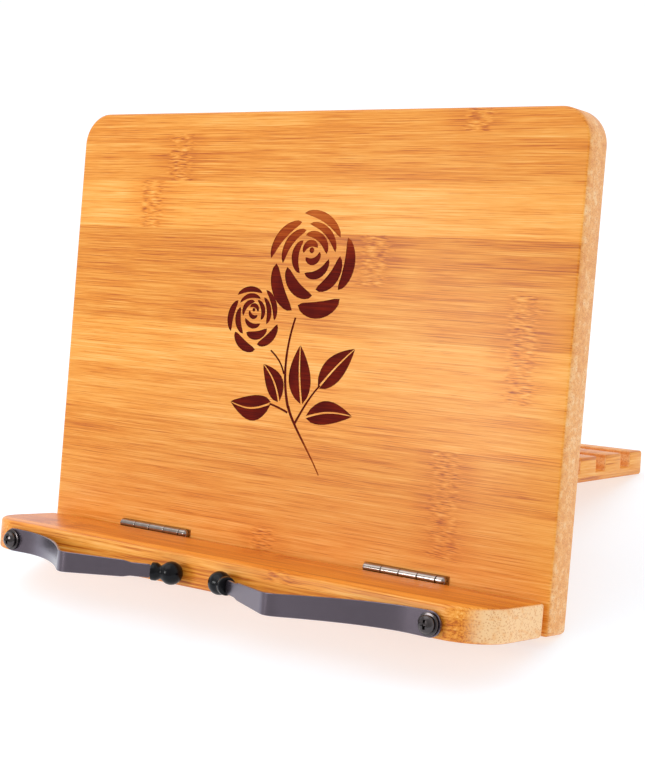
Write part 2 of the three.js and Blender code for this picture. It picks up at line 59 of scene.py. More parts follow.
PROP = {"y": 5.2, "z": 100, "pivot": 1.6, "arm_width": 8, "arm_height": 9, "side_gap": 1.2,
        "rod": 2.0, "groove": 2, "forward": 2.2, "sink": 4.3}
BRACKET = {"thick": 1.5, "base": 14, "height": 17, "reach": 10.4, "gap": 0.5}
CLIP = {"x": 116, "z": 5.8, "thick": 1.2, "stand": 1.0,
        "height": 10.4, "bend_height": 8.8, "end_height": 7.2, "neck": 5.8}
TIP = {"collar": 3.9, "waist": 2.9, "ball": 5.0}
# Along the strip, back from the centre of the tip's ball: where the strip and its slot end, where
# the tongue starts and, level with the ledge, the neck's shoulder with its run in and run out.
STRIP_END = 4.8
TONGUE = {"start": 8.9, "half_height": 2.2, "slot_end": 4.4}
NECK = {"start": 17, "before": 1.6, "after": 1.2}
SMALL_SCREW = {"head": 2.0, "shank": 1.1, "length": 8, "hole_depth": 8.6}
BRACKET_SCREW = {"head": 2.5, "height": 1.3, "length": 8.4, "spread": 5, "hole": 1.5}
PIVOT_SCREW = {"head": 3.2, "height": 1.9, "length": 10}
CLIP_SCREW = {"head": 3.6, "height": 2.4, "shank": 1.7, "length": 17, "hole_depth": 14.5}
WASHER = {"radius": 4.6, "thick": 0.9, "spacer": 3.6}
FIT = 0.25                 # gap between two bodies' faces
HOLE = 0.15                # radial gap round a screw shank or pin
KNUCKLE_GAP = 0.12         # at each end of a knuckle, and between a leaf and the joint's middle
CHANNEL_GAP = 0.4          # radial gap between a front hinge barrel and the wood
CAP_GAP = 0.2              # between a prop arm and the cap on the rod's end
SCREW_SPREAD = 0.32        # of a hinge's length, from its middle to each screw
SQUARE_FACING = 0.9995     # a face whose normal is this close to an axis is shaded flat
ENGRAVED = 0.25            # depth of the burnt drawing
SCREW_HOLE = SMALL_SCREW["shank"] + HOLE
CLIP_HOLE = CLIP_SCREW["shank"] + HOLE
PIVOT_HOLE = PROP["pivot"] + HOLE
LEAF_HOLE = SMALL_SCREW["head"] + 0.2      # lets a screw head sink into a hinge leaf

FRONT_Y = -BOARD["thick"]
LEDGE_REAR = FRONT_Y - LEDGE["gap"]
LEDGE_FRONT = LEDGE_REAR - LEDGE["depth"]
AXIS_Y = FRONT_Y - LEDGE["gap"] / 2
AXIS_Z = LEDGE["thick"] + FRONT_HINGE["rise"]
FRONT_SCREW_Z = AXIS_Z - FRONT_HINGE["screw_drop"]
REAR_SCREW_Z = REAR_HINGE["z"] + REAR_HINGE["screw_drop"]
REAR_SCREW_SEAT = FIT + 0.35               # height of a screw head's underside on the rear leaves
REAR_HOLE_Y = 1 - SMALL_SCREW["hole_depth"]
PLATE_TOP = -REAR_HINGE["y"]
PLATE_BOTTOM = PLATE_TOP - PLATE["thick"]
SIDES = (("left", -1), ("right", 1))
HALF_TURN = Matrix.Rotation(math.pi, 4, "X")

# ------------------------------------------------------------------ frames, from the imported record
mounts = {m["name"]: m for m in frame["record"]["mounts"]}
RIGHT = Vector((1, 0, 0))
BACK = -Vector(mounts["board_front"]["axis"])
UP = Vector(mounts["ledge_top"]["axis"])
MOUNT_HEIGHT = 120         # of the board_front mount, up the board


def frame_matrix(x_axis, y_axis, z_axis, origin):
    rotation = Matrix((x_axis, y_axis, z_axis)).transposed().to_4x4()
    return Matrix.Translation(origin) @ rotation


BOARD_ORIGIN = (Vector(mounts["board_front"]["pos_m"]) + BACK * BOARD["thick"] * MM
                - UP * MOUNT_HEIGHT * MM)
BOARD_FRAME = frame_matrix(RIGHT, BACK, UP, BOARD_ORIGIN)
TILT = Matrix.Rotation(math.radians(PLATE["tilt"]), 4, "X")
HINGE_FRAME = (BOARD_FRAME @ Matrix.Translation((0, REAR_HINGE["y"] * MM, REAR_HINGE["z"] * MM))
               @ TILT)


# ------------------------------------------------------------------ mesh helpers, in millimetres
def along_x(p, q, d):
    return (d, p, q)


def along_y(p, q, d):
    return (p, d, q)


def along_z(p, q, d):
    return (p, q, d)


def arc(cx, cy, radius, start, end, steps):
    turns = [math.radians(start + (end - start) * i / steps) for i in range(steps + 1)]
    return [(cx + radius * math.cos(a), cy + radius * math.sin(a)) for a in turns]


def rounded(x0, y0, x1, y1, radii, inset=0.0, steps=10):
    """Rectangle outline with a radius per corner: bottom left, bottom right, top right, top left."""
    bl, br, tr, tl = (max(r - inset, 0.02) for r in radii)
    x0, y0, x1, y1 = x0 + inset, y0 + inset, x1 - inset, y1 - inset
    return (arc(x0 + bl, y0 + bl, bl, 180, 270, steps) + arc(x1 - br, y0 + br, br, 270, 360, steps)
            + arc(x1 - tr, y1 - tr, tr, 0, 90, steps) + arc(x0 + tl, y1 - tl, tl, 90, 180, steps))


def loft(rings):
    """Closed bmesh through equal rings of points. A ring of one point closes an end to a tip."""
    bm = bmesh.new()
    loops = [[bm.verts.new(p) for p in ring] for ring in rings]
    for a, b in zip(loops, loops[1:]):
        n = max(len(a), len(b))
        for i in range(n):
            corners = [a[i % len(a)], a[(i + 1) % len(a)], b[(i + 1) % len(b)], b[i % len(b)]]
            bm.faces.new(list(dict.fromkeys(corners)))
    for loop in (loops[0], loops[-1]):
        if len(loop) > 2:
            bm.faces.new(loop)
    bmesh.ops.recalc_face_normals(bm, faces=bm.faces)
    return bm


def prism(outline, low, high, along):
    return loft([[along(p, q, d) for p, q in outline] for d in (low, high)])


def rounded_slab(box, radii, low, high, edge, along, steps=10, turns=4):
    """Rounded rectangle with thickness, its long edges rounded by quarter circles of radius edge."""
    quarter = [math.radians(90 * i / turns) for i in range(turns + 1)]
    insets = [(edge * (1 - math.sin(a)), edge * (1 - math.cos(a))) for a in quarter]
    rings = [(inset, low + rise) for inset, rise in insets]
    rings += [(inset, high - rise) for inset, rise in reversed(insets)]
    return loft([[along(p, q, d) for p, q in rounded(*box, radii, inset, steps)]
                 for inset, d in rings])


def lathe(profile, along, centre=(0, 0), steps=32):
    """Turned solid. The profile is (radius, distance along the axis), from end to end."""
    rings = []
    for radius, d in profile:
        if radius < 1e-6:
            rings.append([along(*centre, d)])
        else:
            rings.append([along(p, q, d) for p, q in arc(*centre, radius, 0, 360, steps)[:-1]])
    return loft(rings)


def cylinder(radius, low, high, along, centre=(0, 0), steps=32, edge=0.0):
    if not edge:
        return lathe([(0, low), (radius, low), (radius, high), (0, high)], along, centre, steps)
    inner = radius - edge
    near = edge * 0.3
    profile = [(0, low), (inner, low), (radius - near, low + near), (radius, low + edge),
               (radius, low + 1.7 * edge), (radius, high - 1.7 * edge), (radius, high - edge),
               (radius - near, high - near), (inner, high), (0, high)]
    return lathe(profile, along, centre, steps)


def as_object(bm, name="part"):
    mesh = bpy.data.meshes.new(name)
    bm.to_mesh(mesh)
    bm.free()
    obj = bpy.data.objects.new(name, mesh)
    bpy.context.scene.collection.objects.link(obj)
    return obj


def apply_modifiers(obj):
    bpy.context.view_layer.update()
    evaluated = obj.evaluated_get(bpy.context.evaluated_depsgraph_get())
    mesh = bpy.data.meshes.new_from_object(evaluated)
    old = obj.data
    obj.modifiers.clear()
    obj.data = mesh
    bpy.data.meshes.remove(old)


def boolean(obj, operation, tools, tool_material=None, overlapping=False):
    """Cuts or joins bmesh tools into obj. Faces that a cut leaves take the tool's material."""
    for bm in tools:
        tool = as_object(bm, "tool")
        if tool_material:
            tool.data.materials.append(tool_material)
        modifier = obj.modifiers.new("boolean", "BOOLEAN")
        modifier.operation = operation
        modifier.object = tool
        modifier.solver = "EXACT"
        modifier.material_mode = "TRANSFER"
        modifier.use_self = overlapping
        apply_modifiers(obj)
        bpy.data.objects.remove(tool)


def cut(obj, *tools):
    boolean(obj, "DIFFERENCE", tools)


def join(obj, *tools):
    boolean(obj, "UNION", tools)


def merge(bms):
    """One bmesh that holds several separate solids."""
    whole = bmesh.new()
    for bm in bms:
        mesh = bpy.data.meshes.new("merge")
        bm.to_mesh(mesh)
        bm.free()
        whole.from_mesh(mesh)
        bpy.data.meshes.remove(mesh)
    return whole


def bevel(obj, width, segments=2, angle=35):
    modifier = obj.modifiers.new("bevel", "BEVEL")
    modifier.width = width
    modifier.segments = segments
    modifier.limit_method = "ANGLE"
    modifier.angle_limit = math.radians(angle)
    modifier.use_clamp_overlap = True
    apply_modifiers(obj)


def flip(obj, axis):
    """Mirror image across one axis, with its faces turned outwards again."""
    obj.data.transform(Matrix.Scale(-1, 4, axis))
    obj.data.flip_normals()
    return obj


def mirrored(obj, side):
    """Turns a piece drawn for the left side into the right one."""
    return flip(obj, (1, 0, 0)) if side > 0 else obj


def place(obj, name, body, look, where=BOARD_FRAME, nodes=None, smooth_angle=35):
    """Names, scales, shades and seats a finished piece on its body, in place of its CAD node."""
    obj.name = name
    obj.data.name = name
    obj.data.transform(Matrix.Scale(MM, 4))
    if not obj.data.materials:
        obj.data.materials.append(None)
    obj.data.materials[0] = LOOKS[look]
    polygons = obj.data.polygons
    polygons.foreach_set("use_smooth", [max(map(abs, p.normal)) < SQUARE_FACING for p in polygons])
    obj.data.set_sharp_from_angle(angle=math.radians(smooth_angle))
    obj.matrix_world = where
    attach(obj, body)
    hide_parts(*(nodes or [name.removesuffix("_piece")]))
    return obj


# ------------------------------------------------------------------ material helpers
def linear(red, green, blue):
    """Linear colour of a display colour given from 0 to 255."""
    channels = [c / 255 for c in (red, green, blue)]
    return tuple(c / 12.92 if c <= 0.04045 else ((c + 0.055) / 1.055) ** 2.4
                 for c in channels) + (1.0,)


class Shader:
    """Short ways to add and link nodes of one material."""

    def __init__(self, name):
        self.material = bpy.data.materials.new(name)
        self.material.use_nodes = True
        self.tree = self.material.node_tree
        self.surface = self.tree.nodes["Principled BSDF"]

    def node(self, kind, inputs=None, **settings):
        made = self.tree.nodes.new(kind)
        for key, value in settings.items():
            setattr(made, key, value)
        for key, value in (inputs or {}).items():
            self.put(made.inputs[key], value)
        return made

    def put(self, socket, value):
        if isinstance(value, bpy.types.NodeSocket):
            self.tree.links.new(value, socket)
        else:
            socket.default_value = value

    def math(self, operation, *values):
        made = self.node("ShaderNodeMath", dict(enumerate(values)), operation=operation)
        return made.outputs[0]

    def add(self, a, b):
        return self.math("ADD", a, b)

    def sub(self, a, b):
        return self.math("SUBTRACT", a, b)

    def mul(self, a, b):
        return self.math("MULTIPLY", a, b)

    def swing(self, value, amount):
        """A value from 0 to 1, moved to either side of zero and scaled."""
        return self.mul(self.sub(value, 0.5), amount)

    def ramp(self, value, low, high, to_low=0.0, to_high=1.0):
        """Smooth step of a value between two limits."""
        made = self.node("ShaderNodeMapRange", {
            "Value": value, "From Min": low, "From Max": high, "To Min": to_low, "To Max": to_high,
        }, interpolation_type="SMOOTHSTEP")
        return made.outputs[0]

    def colour_ramp(self, value, stops, constant=False):
        made = self.node("ShaderNodeValToRGB", {"Fac": value})
        made.color_ramp.interpolation = "CONSTANT" if constant else "LINEAR"
        elements = made.color_ramp.elements
        while len(elements) < len(stops):
            elements.new(1.0)
        for element, (position, colour) in zip(elements, stops):
            element.position = position
            element.color = colour
        return made.outputs["Color"]

    def mix(self, factor, a, b, blend="MIX"):
        made = self.node("ShaderNodeMix", {"Factor": factor}, data_type="RGBA", blend_type=blend)
        colours = [s for s in made.inputs if s.type == "RGBA"]
        self.put(colours[0], a)
        self.put(colours[1], b)
        return next(s for s in made.outputs if s.type == "RGBA")

    def vector(self, x, y, z):
        return self.node("ShaderNodeCombineXYZ", {"X": x, "Y": y, "Z": z}).outputs[0]

    def noise(self, vector, scale=1.0, detail=2.0, roughness=0.5, distortion=0.0):
        made = self.node("ShaderNodeTexNoise", {
            "Vector": vector, "Scale": scale, "Detail": detail, "Roughness": roughness,
            "Distortion": distortion})
        return made.outputs["Fac"]

    def random(self, value):
        made = self.node("ShaderNodeTexWhiteNoise", {"W": value}, noise_dimensions="1D")
        return made.outputs["Value"]

    def place_mm(self):
        """The piece's own coordinates in millimetres, as three sockets, and its own normal."""
        coords = self.node("ShaderNodeTexCoord")
        scaled = self.node("ShaderNodeVectorMath", {0: coords.outputs["Object"]}, operation="SCALE")
        scaled.inputs["Scale"].default_value = 1 / MM
        axes = self.node("ShaderNodeSeparateXYZ", {0: scaled.outputs[0]}).outputs
        normal = self.node("ShaderNodeSeparateXYZ", {0: coords.outputs["Normal"]}).outputs
        return axes, normal

    def bump(self, height, strength, distance_mm):
        made = self.node("ShaderNodeBump", {"Height": height, "Strength": strength,
                                            "Distance": distance_mm * MM})
        self.tree.links.new(made.outputs[0], self.surface.inputs["Normal"])

    def set(self, **values):
        for key, value in values.items():
            self.put(self.surface.inputs[key.replace("_", " ")], value)


# ------------------------------------------------------------------ bamboo
PALE = linear(253, 198, 116)
HONEY = linear(243, 164, 66)
AMBER = linear(229, 138, 34)
BROWN = linear(192, 95, 18)
DEEP = linear(136, 58, 10)


PLY_SHIFT = 6.7            # sideways step of the strips from one ply to the next
FACE_DEPTH = 0.05          # keeps a face that lies on a ply's edge inside one ply
MARK_REACH = 200           # culm nodes lie within this distance of a strip's middle


def bamboo(name, long, across, through, strip, ply, shift=0.0, seed=0.0, marks=(), gain=0.0,
           end_light=0.0, mark_ply=0):
    """Pressed bamboo: strips side by side in plies, streaks along them, speckled end grain.

    long, across and through name the piece's axes. strip and ply are a strip's width and thickness.
    marks gives, for each strip from the lowest, where its culm node crosses it, in millimetres
    along the strip, in the ply mark_ply. Other strips have theirs at random places.
    gain lightens the whole, and end_light the cut ends. The ledge takes a negative gain as painted shade
    over the whole piece and a positive end_light as painted light on its cut ends.
    """
    s = Shader(name)
    axes, normal = s.place_mm()
    run, side, deep = (axes["XYZ".index(a)] for a in (long, across, through))
    ply_index = s.math("FLOOR", s.math("DIVIDE", s.sub(deep, FACE_DEPTH), ply))
    shifted = s.sub(s.add(side, s.mul(ply_index, PLY_SHIFT)), shift + mark_ply * PLY_SHIFT)
    strip_index = s.math("FLOOR", s.math("DIVIDE", shifted, strip))
    key = s.add(s.add(s.mul(strip_index, 3.17), s.mul(ply_index, 11.3)), seed)
    tone = s.random(key)
    offset = s.mul(key, 13.7)

    # culm node of this strip: a narrow cross band where the fibres break up
    node_place = s.swing(s.random(s.add(key, 5.1)), 220.0)
    if marks:
        stops = [(i / len(marks), ((m + MARK_REACH) / (2 * MARK_REACH),) * 3 + (1.0,))
                 for i, m in enumerate(marks)]
        share = s.math("DIVIDE", s.add(strip_index, 0.5), len(marks))
        chosen = s.sub(s.mul(s.colour_ramp(share, stops, True), 2.0 * MARK_REACH), MARK_REACH)
        front = s.math("COMPARE", ply_index, float(mark_ply), 0.5)
        node_place = s.add(s.mul(front, chosen), s.mul(s.sub(1.0, front), node_place))
    sway = s.swing(s.noise(s.vector(offset, side, deep), 0.22), 9.0)
    from_mark = s.sub(s.sub(run, node_place), sway)
    ragged = s.swing(s.noise(s.vector(offset, s.mul(side, 1.2), deep), 1.0, 2.0), 14.0)
    near = s.math("ABSOLUTE", s.add(from_mark, ragged))
    band = s.ramp(near, 8.0, 4.5)
    halo = s.ramp(near, 22.0, 3.0)

    # streaks: long noise along the strip, finer and shorter inside the culm node
    bend = s.mul(s.noise(s.vector(s.mul(run, 0.012), side, offset), 0.06), 7.0)
    lane = s.add(s.add(side, bend), offset)
    slow = s.mul(run, 0.010)
    broad = s.noise(s.vector(slow, s.mul(lane, 0.20), deep), 1.0, 2.0)
    streak = s.noise(s.vector(slow, s.mul(lane, 0.8), deep), 1.0, 3.0, 0.62)
    fine = s.noise(s.vector(s.mul(run, 0.03), s.mul(lane, 2.3), deep), 1.0, 3.0, 0.75)
    dash = s.noise(s.vector(s.mul(run, 0.17), s.mul(lane, 1.5), deep), 1.0, 2.0)

    value = s.swing(tone, 0.20)
    for layer, amount in ((broad, 0.50), (streak, 0.62), (fine, 1.5)):
        value = s.add(value, s.swing(layer, amount))
    value = s.sub(s.add(value, 0.56 + gain), s.mul(halo, 0.13))
    broken = s.add(s.swing(dash, 2.3), 0.46)
    in_band = s.mul(band, 0.7)
    value = s.add(s.mul(value, s.sub(1.0, in_band)), s.mul(broken, in_band))
    grain = s.colour_ramp(value, [(0.0, DEEP), (0.22, BROWN), (0.45, AMBER), (0.66, HONEY),
                                  (1.0, PALE)])
    hairline = s.ramp(fine, 0.40, 0.32)
    grain = s.mix(s.mul(hairline, 0.6), grain, BROWN)
    ripple = s.add(s.mul(tone, 0.10), 0.95)
    grain = s.mix(1.0, grain, s.vector(ripple, ripple, ripple), "MULTIPLY")

    # cut ends: bundles of dark dots in a paler ground
    dots = s.node("ShaderNodeTexVoronoi", {
        "Vector": s.vector(s.mul(run, 0.15), side, deep), "Scale": 1.2,
        "Randomness": 1.0}).outputs["Distance"]
    ground = s.add(s.noise(s.vector(offset, side, deep), 0.35, 3.0), end_light)
    end = s.colour_ramp(s.add(ground, s.swing(tone, 0.2)),
                        [(0.2, linear(228, 148, 76)), (0.5, linear(243, 172, 96)),
                         (0.8, linear(253, 207, 150))])
    end = s.mix(s.mul(s.ramp(dots, 0.46, 0.20), 0.58), end, linear(208, 122, 58))
    grit = s.noise(s.vector(0.0, side, deep), 2.2, 2.0)
    end = s.mix(s.ramp(grit, 0.58, 0.72, 0.0, 0.6), end, linear(255, 222, 174))
    facing = s.math("ABSOLUTE", normal["XYZ".index(long)])
    cross = s.ramp(facing, 0.42, 0.82)

    s.set(Base_Color=s.mix(cross, grain, end), Roughness=s.add(0.36, s.mul(fine, 0.14)))
    s.set(Coat_Weight=0.12, Coat_Roughness=0.22, Specular_IOR_Level=0.35)
    height = s.add(s.mul(fine, 0.6), s.mul(dots, cross))
    s.bump(s.add(height, s.mul(dash, band)), 0.35, 0.06)
    return s.material


def burnt():
    """Scorched bamboo in the drawing: near black brown, lighter along fibres and at both ends."""
    s = Shader("burnt_bamboo")
    axes, _ = s.place_mm()
    x, _, z = axes
    lines = s.noise(s.vector(s.mul(x, 0.03), s.mul(z, 1.9), 0.0), 1.0, 2.0)
    cloud = s.noise(s.vector(x, z, 0.0), 0.09, 2.0)
    light = s.add(s.ramp(z, 138.0, 168.0, 0.0, 0.75), s.ramp(z, 74.0, 50.0, 0.0, 0.55))
    value = s.add(s.add(s.swing(lines, 0.9), light), s.mul(s.sub(cloud, 0.36), 0.55))
    colour = s.colour_ramp(value, [(0.0, linear(84, 6, 0)), (0.3, linear(120, 26, 4)),
                                   (0.62, linear(168, 72, 20)), (1.0, linear(206, 112, 46))])
    s.set(Base_Color=colour, Roughness=s.add(0.6, s.mul(lines, 0.2)))
    s.set(Specular_IOR_Level=0.1)
    s.bump(lines, 0.5, 0.05)
    return s.material


# ------------------------------------------------------------------ metals and rubber
def metal(name, colour, metallic, rough, scratch, dark=0.85):
    """Metal with cloudy roughness, fine brushed marks and slightly darker patches."""
    s = Shader(name)
    axes, _ = s.place_mm()
    x, y, z = axes
    cloud = s.noise(s.vector(x, y, z), 0.35, 3.0)
    marks = s.noise(s.vector(s.mul(x, 0.25), s.mul(y, 2.2), s.mul(z, 2.2)), 1.6, 3.0, 0.65)
    shade = tuple(c * dark for c in colour[:3]) + (1.0,)
    s.set(Base_Color=s.mix(s.ramp(cloud, 0.35, 0.65), shade, colour), Metallic=metallic,
          Roughness=s.add(rough, s.swing(marks, scratch)))
    s.bump(marks, 0.25, 0.03)
    return s.material


def rubber():
    s = Shader("black_rubber")
    axes, _ = s.place_mm()
    skin = s.noise(s.vector(*axes), 2.4, 3.0)
    tone = s.colour_ramp(skin, [(0.3, linear(4, 4, 6)), (0.8, linear(14, 14, 19))])
    s.set(Base_Color=tone, Roughness=s.add(0.16, s.mul(skin, 0.12)))
    s.set(Specular_IOR_Level=0.2)
    s.bump(skin, 0.12, 0.05)
    return s.material


# culm node of each strip on the board's front, from the lowest strip up
BOARD_MARKS = (-8, 86, 86, 190, 117, 117, 41, -92, -75, 88)
LOOKS = {
    "board": bamboo("board_bamboo", "X", "Z", "Y", 22, 4.72, shift=2, seed=2.0,
                    marks=BOARD_MARKS, mark_ply=-3),
    # The ledge bamboo is darker all over: painted shade, standing in for the shade that falls on its top.
    "ledge": bamboo("ledge_bamboo", "X", "Y", "Z", 22, 4.72, shift=-17, seed=31.0, gain=-0.10,
                    # Its cut ends are lighter: painted light, standing in for the light that the glowing
                    # floor throws on them.
                    end_light=0.35),
    "plate": bamboo("plate_bamboo", "Y", "X", "Z", 20, 3.8, shift=3, seed=57.0, gain=0.04),
    "arm": bamboo("arm_bamboo", "Y", "Z", "X", 12, 4.0, seed=83.0),
    "burnt": burnt(),
    "nickel": metal("bright_nickel", linear(166, 154, 147), 1.0, 0.11, 0.06),
    "strip": metal("dark_spring_steel", linear(116, 106, 116), 0.9, 0.24, 0.05, dark=0.96),
    "black": metal("black_steel", linear(88, 82, 82), 0.95, 0.2, 0.08, dark=0.8),
    "rubber": rubber(),
}


# ------------------------------------------------------------------ the burnt drawing
def petal(centre, radius, thick, start, end, swirl=0.0, steps=12):
    """Pointed crescent between two arcs. swirl lets its radius grow along its length."""
    outer = []
    inner = []
    for i in range(steps + 1):
        t = i / steps
        a = math.radians(start + (end - start) * t)
        r = radius * (1 + swirl * (t - 0.5))
        half = thick / 2 * math.sin(math.pi * t) ** 0.55
        outer.append((r + half, a))
        inner.append((r - half, a))
    path = outer[:-1] + inner[::-1][:-1]
    return [(centre[0] + r * math.cos(a), centre[1] + r * math.sin(a)) for r, a in path]


def bloom(centre, radius, turn):
    """Open flower seen from a little above: rings of crescents that sit higher towards the heart."""
    shapes = []
    rings = ((0.17, 0.13, 2, 0.20), (0.37, 0.16, 3, 0.14), (0.60, 0.20, 4, 0.07), (0.86, 0.24, 5, 0.0))
    for k, (reach, thick, count, lift) in enumerate(rings):
        middle = (centre[0], centre[1] + lift * radius)
        span = 360 / count
        for i in range(count):
            start = turn + 41 * k + i * span
            mid = math.radians(start + span / 2)
            heavy = 1.0 - 0.3 * math.sin(mid) if k > 1 else 1.0
            gap = 5 / reach
            shapes.append(petal(middle, reach * radius, thick * heavy * radius,
                                start + gap / 2, start + span - gap / 2, 0.16))
    heart = arc(centre[0], centre[1] + 0.24 * radius, 0.055 * radius, 0, 360, 10)[:-1]
    return shapes + [heart]


def leaf(base, tip, width, bow, gap=0.7, steps=10):
    """Two half blades with a pale midrib between them, bowed to one side."""
    run = Vector(tip) - Vector(base)
    across = Vector((-run.y, run.x)).normalized()
    halves = []
    for sign in (-1, 1):
        rib = []
        rim = []
        for i in range(steps + 1):
            t = i / steps
            spine = Vector(base) + run * t + across * bow * math.sin(math.pi * t)
            slit = gap / 2 * (1 - t) ** 0.5 + 0.12
            blade = width * math.sin(math.pi * t ** 0.8) ** 0.9
            rib.append(spine + across * sign * slit)
            rim.append(spine + across * sign * (slit + blade))
        halves.append([tuple(p) for p in rib + rim[-2:0:-1]])
    return halves


def cubic_point(a, b, c, d, t):
    """Point at the share t of a cubic curve with four control points."""
    u = 1 - t
    return a * u ** 3 + b * 3 * u * u * t + c * 3 * u * t * t + d * t ** 3


def stem(points, start_width, end_width, steps=16):
    """Ribbon of changing width along a cubic curve through four control points."""
    a, b, c, d = (Vector(p) for p in points)
    left = []
    right = []
    for i in range(steps + 1):
        t = i / steps
        u = 1 - t
        spot = cubic_point(a, b, c, d, t)
        way = (b - a) * u * u + (c - b) * 2 * u * t + (d - c) * t * t
        across = Vector((-way.y, way.x)).normalized() * (start_width * u + end_width * t) / 2
        left.append(tuple(spot + across))
        right.append(tuple(spot - across))
    return left + right[::-1]


def drawing():
    """Outlines of a generic sprig with two blooms, in millimetres on the board's front."""
    shapes = bloom((6.4, 142.5), 24.5, 200) + bloom((-23.8, 116.8), 15.4, 160)
    shapes += [
        stem([(0.4, 118.4), (-3.4, 106.0), (-4.8, 92.0), (0.3, 78.4)], 1.0, 1.5),
        stem([(0.3, 79.0), (3.4, 71.0), (12.0, 63.0), (20.2, 50.6)], 1.5, 0.6),
        stem([(-12.2, 103.0), (-7.6, 100.2), (-5.0, 97.0), (-3.6, 93.0)], 0.8, 0.9),
        stem([(17.0, 89.6), (12.4, 85.0), (8.6, 79.0), (4.6, 71.6)], 0.8, 1.2),
        stem([(-10.4, 79.2), (-7.0, 78.6), (-3.6, 77.6), (0.2, 76.2)], 0.9, 1.0),
    ]
    for base, tip, width, bow in (((-9.6, 79.6), (-33.2, 78.2), 5.4, 2.6),
                                  ((-5.2, 80.6), (-15.6, 96.6), 4.6, -1.6),
                                  ((7.6, 80.6), (4.4, 106.4), 5.8, 0.8),
                                  ((16.2, 88.6), (34.2, 106.8), 5.2, 0.6),
                                  ((10.6, 75.2), (35.6, 77.8), 4.8, 1.8)):
        shapes += leaf(base, tip, width, bow)
    return shapes


# ------------------------------------------------------------------ board, ledge, plate
def front_hinge_x(side):
    return side * FRONT_HINGE["x"] + FRONT_HINGE["offset"]


def screw_offsets(hinge):
    return (-hinge["length"] * SCREW_SPREAD, hinge["length"] * SCREW_SPREAD)


def barrel_channel(side):
    x = front_hinge_x(side)
    half = FRONT_HINGE["length"] / 2
    return cylinder(FRONT_HINGE["barrel"] + CHANNEL_GAP, x - half - 1, x + half + FRONT_HINGE["head"] + 1,
                    along_x, (AXIS_Y, AXIS_Z))


def screw_hole(low, high, along, centre):
    return cylinder(SCREW_HOLE, low, high, along, centre, 16)


def back_board():
    half = BOARD["width"] / 2
    radii = (BOARD["foot"], BOARD["foot"], BOARD["corner"], BOARD["corner"])
    board = as_object(rounded_slab((-half, 0, half, BOARD["height"]), radii, FRONT_Y, 0,
                                   BOARD["edge"], along_y, steps=14))
    board.data.materials.append(LOOKS["board"])
    holes = []
    for _, side in SIDES:
        holes.append(barrel_channel(side))
        for dx in screw_offsets(FRONT_HINGE):
            holes.append(screw_hole(FRONT_Y - 1, FRONT_Y + SMALL_SCREW["hole_depth"], along_y,
                                    (front_hinge_x(side) + dx, FRONT_SCREW_Z)))
        for dx in screw_offsets(REAR_HINGE):
            holes.append(screw_hole(REAR_HOLE_Y, 1, along_y,
                                    (side * REAR_HINGE["x"] + dx, REAR_SCREW_Z)))
        for z in bracket_screw_heights():
            holes.append(screw_hole(REAR_HOLE_Y, 1, along_y, (side * bracket_screw_x(), z)))
    cut(board, merge(holes))
    lines = merge([prism(shape, FRONT_Y - 0.5, FRONT_Y + ENGRAVED, along_y) for shape in drawing()])
    boolean(board, "DIFFERENCE", [lines], LOOKS["burnt"], overlapping=True)
    place(board, "back_board_piece", "board_assembly", "board")


def ledge():
    half = LEDGE["width"] / 2
    radii = (LEDGE["corner"], LEDGE["corner"], LEDGE["heel"], LEDGE["heel"])
    piece = as_object(rounded_slab((-half, LEDGE_FRONT, half, LEDGE_REAR), radii, 0,
                                   LEDGE["thick"], LEDGE["edge"], along_z, steps=18))
    holes = []
    for _, side in SIDES:
        holes.append(barrel_channel(side))
        for dx in screw_offsets(FRONT_HINGE):
            holes.append(screw_hole(LEDGE_REAR - SMALL_SCREW["hole_depth"], LEDGE_REAR + 1, along_y,
                                    (front_hinge_x(side) + dx, FRONT_SCREW_Z)))
        holes.append(cylinder(CLIP_HOLE, LEDGE_FRONT - 1, LEDGE_FRONT + CLIP_SCREW["hole_depth"],
                              along_y, (side * CLIP["x"], CLIP["z"]), 24))
    cut(piece, merge(holes))
    place(piece, "ledge_piece", "ledge_assembly", "ledge")


def groove_places():
    last = PLATE["rear"] - GROOVE["end"]
    return [last - (GROOVE["count"] - 1 - i) * GROOVE["pitch"] for i in range(GROOVE["count"])]


def support_plate():
    drop = PLATE["thick"] - PLATE["lip"]
    rear = PLATE["rear"]
    outline = [(PLATE["front"], PLATE_TOP - PLATE["lip"]), (PLATE["front"] + drop, PLATE_BOTTOM),
               (rear - 1, PLATE_BOTTOM), (rear, PLATE_BOTTOM + 1), (rear, PLATE_TOP - 1),
               (rear - 1, PLATE_TOP)]
    floor = PLATE_TOP - GROOVE["depth"]
    for place_y in reversed(groove_places()):
        a, b = place_y + GROOVE["width"] / 2, place_y - GROOVE["width"] / 2
        outline += [(a, PLATE_TOP), (a, floor), (b, floor), (b, PLATE_TOP)]
    outline.append((PLATE["front"], PLATE_TOP))
    half = PLATE["width"] / 2
    piece = as_object(prism(outline, -half, half, along_x))
    bevel(piece, 0.6, 3)
    holes = [screw_hole(PLATE_TOP - SMALL_SCREW["hole_depth"], PLATE_TOP + 1, along_z,
                        (side * REAR_HINGE["x"] + dx, REAR_HINGE["screw_drop"]))
             for _, side in SIDES for dx in screw_offsets(REAR_HINGE)]
    cut(piece, merge(holes))
    place(piece, "support_plate_piece", "plate_assembly", "plate", HINGE_FRAME)


